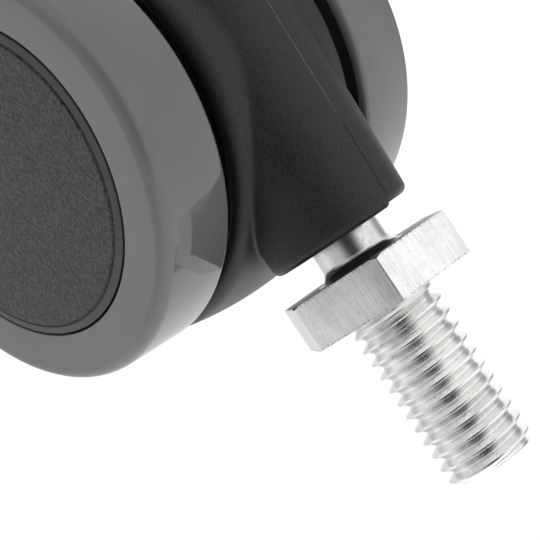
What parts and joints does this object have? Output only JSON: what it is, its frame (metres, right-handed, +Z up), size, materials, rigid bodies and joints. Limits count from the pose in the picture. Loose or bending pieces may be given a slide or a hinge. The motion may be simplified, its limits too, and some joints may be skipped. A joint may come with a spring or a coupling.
{
  "type": "twin-wheel furniture caster",
  "caption": "Small twin-wheel furniture caster with grey treads, a black drum housing and a threaded swivel stem with a hexagonal collar.",
  "frame": {"origin": "centre of the threaded stem's end face, on the swivel axis", "axes": "+Z up along the stem, away from the wheels; +X from the stem to the axle; Y along the axle"},
  "size_m": [0.0384, 0.0328, 0.0578],
  "materials": {
    "zinc_steel": "satin",
    "spring_steel": "satin",
    "axle_steel": "polished",
    "housing_nylon": "satin",
    "core_nylon": "satin",
    "cap_nylon": "matte",
    "grey_tread": "glossy",
    "acetal": "satin"
  },
  "bodies": {
    "stem": {"stem_pin": "zinc_steel", "stem_retaining_clip": "spring_steel"},
    "swivel_housing": {"housing": "housing_nylon", "stem_bush": "acetal", "stem_thrust_pad": "acetal", "axle": "axle_steel", "axle_sleeve": "axle_steel", "inner_washer_left": "acetal", "outer_washer_left": "acetal", "push_nut_left": "spring_steel", "inner_washer_right": "acetal", "outer_washer_right": "acetal", "push_nut_right": "spring_steel"},
    "wheel_left": {"wheel_core_left": "core_nylon", "tread_left": "grey_tread", "wheel_cap_left": "cap_nylon", "wheel_bush_left": "acetal"},
    "wheel_right": {"wheel_core_right": "core_nylon", "tread_right": "grey_tread", "wheel_cap_right": "cap_nylon", "wheel_bush_right": "acetal"}
  },
  "joints": [
    {"name": "swivel", "type": "hinge", "parent": "stem", "child": "swivel_housing", "pos_m": [0, 0, -0.0216], "axis": [0, 0, 1], "continuous": true},
    {"name": "wheel_spin_left", "type": "hinge", "parent": "swivel_housing", "child": "wheel_left", "pos_m": [0.0125, 0, -0.0401], "axis": [0, 1, 0], "continuous": true},
    {"name": "wheel_spin_right", "type": "hinge", "parent": "swivel_housing", "child": "wheel_right", "pos_m": [0.0125, 0, -0.0401], "axis": [0, 1, 0], "continuous": true}
  ]
}
